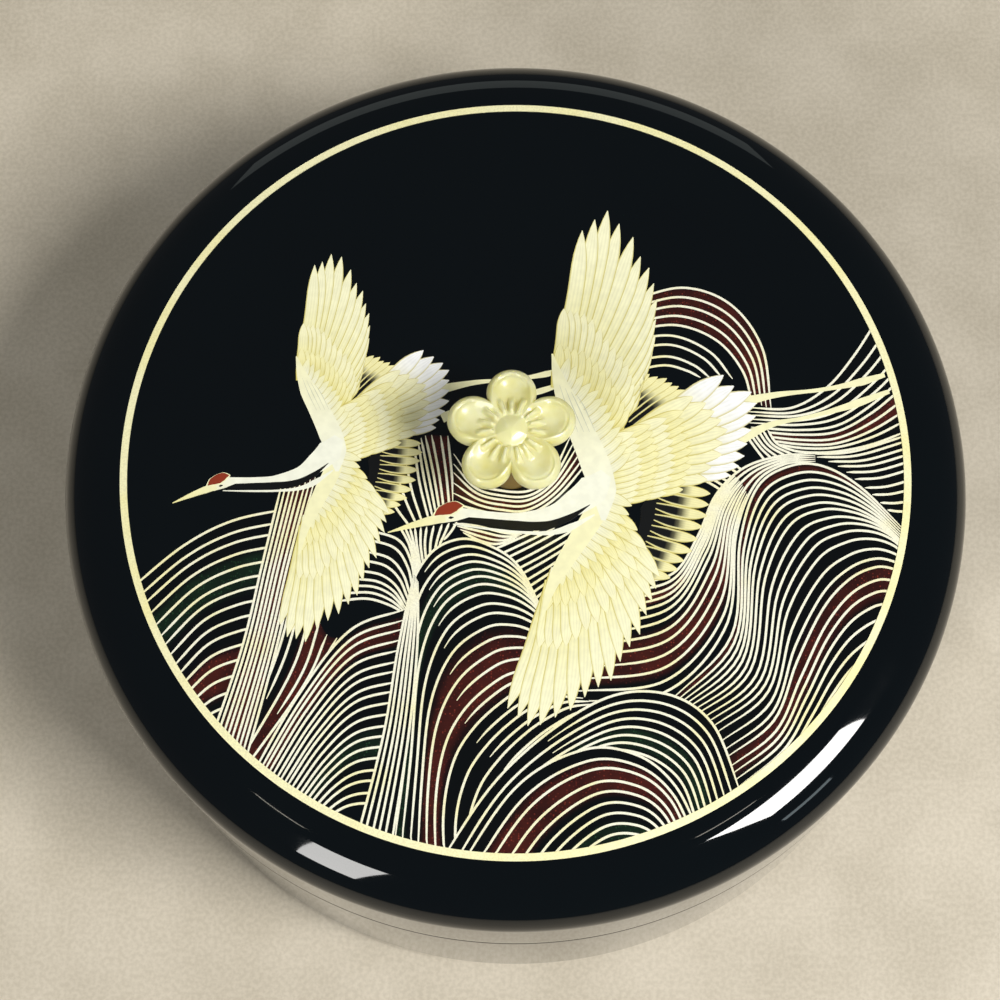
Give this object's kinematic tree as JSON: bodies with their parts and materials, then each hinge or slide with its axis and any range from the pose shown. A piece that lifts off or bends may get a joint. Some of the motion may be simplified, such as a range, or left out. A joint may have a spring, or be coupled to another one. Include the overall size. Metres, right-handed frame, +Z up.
{
  "type": "powder box",
  "caption": "Round black lacquered powder box with a lift-off lid, a rounded shoulder, a printed crane and wave top and a plum blossom knob; holds face powder and a puff.",
  "frame": {"origin": "centre of the underside, on the surface that the box stands on", "axes": "+Z up along the axis of the box, +Y towards the top of the picture on the lid, the way the knob's first petal points"},
  "size_m": [0.125, 0.125, 0.0754],
  "materials": {
    "black_lacquer": "deep gloss black lacquer over moulded plastic, with a gold, pearl, copper and green print on the lid",
    "blossom_resin": "translucent pale yellow moulded resin, glossy"
  },
  "bodies": {
    "root": {"box_base": "black_lacquer", "box_lid": "black_lacquer", "blossom_knob": "blossom_resin"}
  },
  "joints": []
}
